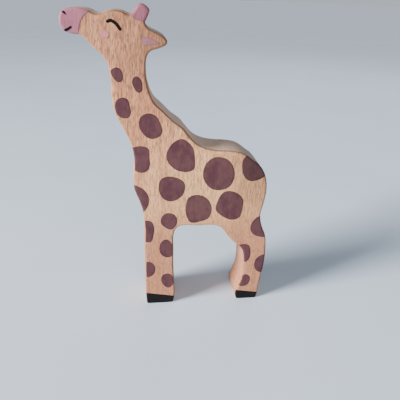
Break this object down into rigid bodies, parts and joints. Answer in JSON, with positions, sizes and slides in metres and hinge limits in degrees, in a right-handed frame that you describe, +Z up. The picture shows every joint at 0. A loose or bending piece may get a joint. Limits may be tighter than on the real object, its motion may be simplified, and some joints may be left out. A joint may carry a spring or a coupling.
{
  "type": "wooden giraffe figure",
  "caption": "Flat wooden toy giraffe standing on its feet, sawn from one plank with rounded edges, its spots, muzzle, horn, hooves and shut eye painted on both faces.",
  "frame": {"origin": "centre of the bottom of the bounding box: on the ground, half way along the figure and half way through the plank", "axes": "+Z up from the feet to the horn, +X from the muzzle to the rump so that the animal looks towards -X, +Y through the thickness from its left face to its right face"},
  "size_m": [0.1164, 0.0248, 0.1805],
  "materials": {
    "beech": "sanded, bare and fine-grained, with the grain upright and short dark flecks",
    "spot_paint": "brush-painted matt acrylic, mauve brown, slightly darker at the rims",
    "pink_paint": "thin matt acrylic, dusty pink, with the wood grain showing through",
    "cheek_paint": "thin matt acrylic, pale pink",
    "line_paint": "matt black brush line",
    "hoof_paint": "matt black acrylic"
  },
  "bodies": {
    "root": {"body": "beech", "muzzle_paint_left": "pink_paint", "muzzle_paint_right": "pink_paint", "horn_paint_left": "pink_paint", "horn_paint_right": "pink_paint", "inner_ear_left": "pink_paint", "inner_ear_right": "pink_paint", "cheek_left": "cheek_paint", "cheek_right": "cheek_paint", "eye_left": "line_paint", "eye_right": "line_paint", "nostril_left": "line_paint", "nostril_right": "line_paint", "mouth_left": "line_paint", "mouth_right": "line_paint", "neck_spots_left": "spot_paint", "neck_spots_right": "spot_paint", "shoulder_spots_left": "spot_paint", "shoulder_spots_right": "spot_paint", "flank_spots_left": "spot_paint", "flank_spots_right": "spot_paint", "front_leg_spots_left": "spot_paint", "front_leg_spots_right": "spot_paint", "hind_leg_spots_left": "spot_paint", "hind_leg_spots_right": "spot_paint", "front_hoof_paint_left": "hoof_paint", "front_hoof_paint_right": "hoof_paint", "hind_hoof_paint_left": "hoof_paint", "hind_hoof_paint_right": "hoof_paint"}
  },
  "joints": []
}
